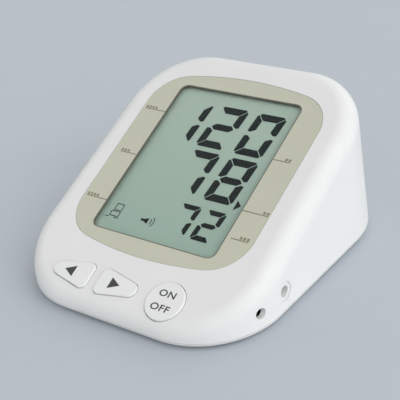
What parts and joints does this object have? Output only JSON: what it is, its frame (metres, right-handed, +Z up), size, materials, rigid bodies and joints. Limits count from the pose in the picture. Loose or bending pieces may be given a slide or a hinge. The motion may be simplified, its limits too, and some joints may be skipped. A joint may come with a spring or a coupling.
{
  "type": "blood pressure monitor",
  "caption": "Wedge-shaped upper-arm blood pressure monitor with a large tilted display, arrow keys, a round power key, an air socket and a power inlet.",
  "frame": {"origin": "on the table, under the middle of the body's box", "axes": "+X to the user's right, +Y to the high back, +Z up"},
  "size_m": [0.1198, 0.1308, 0.064],
  "materials": {
    "housing_white": "fine moulded satin",
    "bezel_beige": "satin",
    "lens_clear": "polished acrylic window",
    "lcd_grey_green": "reflective liquid crystal panel",
    "key_white": "satin",
    "inner_plastic": "moulded",
    "socket_grey": "moulded",
    "contact_rubber": "elastomer",
    "foot_rubber": "matte",
    "screw_steel": "zinc plated",
    "board_green": "solder mask",
    "chip_black": "moulded package",
    "capacitor_can": "sleeved can",
    "cell_jacket": "printed jacket, plain",
    "contact_nickel": "nickel plated",
    "motor_can": "plated can",
    "brass_eccentric": "turned",
    "coil_copper": "enamelled winding",
    "tube_silicone": "translucent silicone",
    "inlet_black": "moulded",
    "speaker_metal": "plated basket",
    "speaker_paper": "pressed cone",
    "lead_jacket": "insulated wire"
  },
  "bodies": {
    "monitor_body": {"upper_housing": "housing_white", "lower_housing": "housing_white", "display_bezel": "bezel_beige", "display_window": "lens_clear", "lcd_panel": "lcd_grey_green", "lcd_holder": "inner_plastic", "pump_head": "inner_plastic", "air_manifold": "inner_plastic", "valve_nozzle": "inner_plastic", "air_socket": "socket_grey", "lcd_contact_strips": "contact_rubber", "pump_diaphragm": "contact_rubber", "rubber_feet": "foot_rubber", "pump_cradle": "foot_rubber", "housing_screws": "screw_steel", "board_screws": "screw_steel", "valve_yoke": "screw_steel", "main_circuit_board": "board_green", "controller_chip": "chip_black", "voice_chip": "chip_black", "pressure_sensor": "chip_black", "switch_bodies": "chip_black", "filter_capacitors": "capacitor_can", "battery_cells": "cell_jacket", "battery_contact_plates": "contact_nickel", "battery_contact_springs": "contact_nickel", "power_inlet_pin": "contact_nickel", "pump_motor": "motor_can", "valve_coil": "coil_copper", "pump_air_tube": "tube_silicone", "valve_air_tube": "tube_silicone", "sensor_air_tube": "tube_silicone", "socket_air_tube": "tube_silicone", "power_inlet": "inlet_black", "speaker_frame": "speaker_metal", "speaker_cone": "speaker_paper", "battery_leads": "lead_jacket", "motor_leads": "lead_jacket", "speaker_leads": "lead_jacket", "valve_leads": "lead_jacket", "inlet_leads": "lead_jacket"},
    "left_key": {"left_button": "key_white", "left_switch_plunger": "chip_black"},
    "right_key": {"right_button": "key_white", "right_switch_plunger": "chip_black"},
    "power_key": {"power_button": "key_white", "power_switch_plunger": "chip_black"},
    "rear_hatch": {"battery_cover": "housing_white"},
    "pump_rotor": {"pump_shaft": "screw_steel", "pump_eccentric": "brass_eccentric"},
    "valve_slider": {"valve_core": "screw_steel"}
  },
  "joints": [
    {"name": "left_key_press", "type": "slide", "parent": "monitor_body", "child": "left_key", "axis": [0, 0.4147, -0.91], "range_m": [0, 0.0008], "stiffness_N_per_m": 1500, "springref_m": -0.0003},
    {"name": "right_key_press", "type": "slide", "parent": "monitor_body", "child": "right_key", "axis": [0, 0.4147, -0.91], "range_m": [0, 0.0008], "stiffness_N_per_m": 1500, "springref_m": -0.0003},
    {"name": "power_key_press", "type": "slide", "parent": "monitor_body", "child": "power_key", "axis": [0, 0.4147, -0.91], "range_m": [0, 0.0008], "stiffness_N_per_m": 1500, "springref_m": -0.0003},
    {"name": "hatch_slide", "type": "slide", "parent": "monitor_body", "child": "rear_hatch", "axis": [0, 1, 0], "range_m": [0, 0.055]},
    {"name": "pump_spin", "type": "hinge", "parent": "monitor_body", "child": "pump_rotor", "pos_m": [0, 0.0435, 0.032], "axis": [1, 0, 0], "continuous": true},
    {"name": "valve_release", "type": "slide", "parent": "monitor_body", "child": "valve_slider", "axis": [-1, 0, 0], "range_m": [0, 0.0012], "stiffness_N_per_m": 500, "springref_m": -0.0005}
  ]
}
